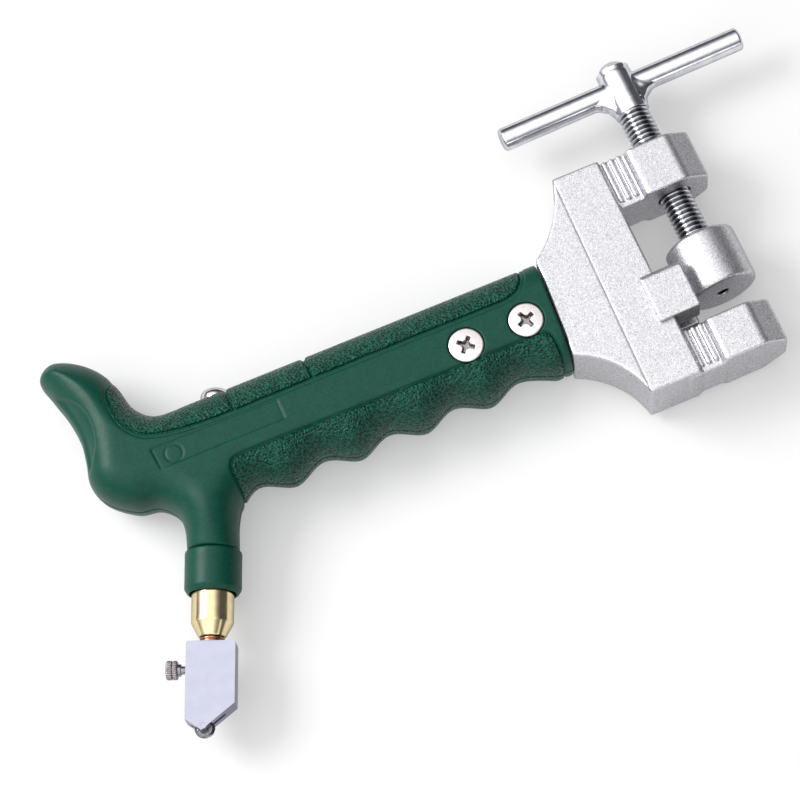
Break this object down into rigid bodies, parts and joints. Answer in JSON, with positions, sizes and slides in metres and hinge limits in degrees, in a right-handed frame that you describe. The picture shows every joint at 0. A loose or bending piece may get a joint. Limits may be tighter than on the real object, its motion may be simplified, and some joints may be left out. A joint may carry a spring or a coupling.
{
  "type": "hand glass cutter",
  "caption": "Hand-held glass and tile cutter: an oil-fed scoring wheel on a necked plastic grip, with a screw-clamp breaker head at the other end.",
  "frame": {"origin": "under the middle of the tool's outline, on the plane it lies on", "axes": "+X along the grip towards the breaker head, +Y along the clamp screw towards its T-bar, +Z through the thickness; the tool lies on its broad side"},
  "size_m": [0.1962, 0.1186, 0.0221],
  "materials": {
    "silver_casting": "silver sparkle paint on cast aluminium",
    "green_plastic": "satin, with leather-grain grip zones",
    "bright_zinc": "bright zinc plate",
    "polished_nickel": "polished nickel",
    "handle_screws": "nickel plated",
    "polished_brass": "polished",
    "copper": "soft copper washer",
    "dark_steel": "blackened",
    "carbide": "ground carbide",
    "felt": "oil-soaked felt",
    "seal_rubber": "black nitrile"
  },
  "bodies": {
    "tool_body": {"head_frame": "silver_casting", "breaking_bar": "dark_steel", "handle_front": "green_plastic", "handle_back": "green_plastic", "neck_collar": "green_plastic", "handle_screw_front": "handle_screws", "handle_screw_rear": "handle_screws", "handle_nut_front": "handle_screws", "handle_nut_rear": "handle_screws", "oil_tube": "polished_brass", "oil_wick": "felt", "ferrule": "polished_brass"},
    "pressure_foot": {"pressure_foot": "silver_casting"},
    "clamp_screw": {"clamp_screw": "bright_zinc", "tee_bar": "bright_zinc", "tee_bar_welds": "bright_zinc", "foot_retaining_clip": "dark_steel"},
    "cutter_head": {"cutter_block": "polished_nickel", "swivel_post": "bright_zinc", "post_seal_ring": "copper", "wheel_axle": "dark_steel"},
    "cutting_wheel": {"cutting_wheel": "carbide"},
    "lock_screw": {"lock_screw": "polished_nickel"},
    "filler_plug": {"filler_plug": "polished_nickel", "filler_plug_seal": "seal_rubber"}
  },
  "joints": [
    {"name": "foot_travel", "type": "slide", "parent": "tool_body", "child": "pressure_foot", "axis": [0, 1, 0], "range_m": [-0.0032, 0.0125]},
    {"name": "screw_turn", "type": "hinge", "parent": "pressure_foot", "child": "clamp_screw", "pos_m": [0.06504, -0.00055, 0.011], "axis": [0, 1, 0], "range_deg": [-925, 3605]},
    {"name": "head_swivel", "type": "hinge", "parent": "tool_body", "child": "cutter_head", "pos_m": [-0.07541, -0.01715, 0.011], "axis": [0.3987, 0.9171, 0], "range_deg": [-12, 12]},
    {"name": "wheel_spin", "type": "hinge", "parent": "cutter_head", "child": "cutting_wheel", "pos_m": [-0.0942, -0.05685, 0.011], "axis": [0, 0, 1], "continuous": true},
    {"name": "lock_screw_turn", "type": "hinge", "parent": "cutter_head", "child": "lock_screw", "pos_m": [-0.08718, -0.0442, 0.011], "axis": [-0.9171, 0.3987, 0], "range_deg": [0, 720]},
    {"name": "filler_plug_lift", "type": "slide", "parent": "tool_body", "child": "filler_plug", "axis": [0.3987, 0.9171, 0], "range_m": [0, 0.008]}
  ],
  "couplings": [
    {"joint": "screw_turn", "follows": "foot_travel", "rad_per_m": 5026.5}
  ]
}
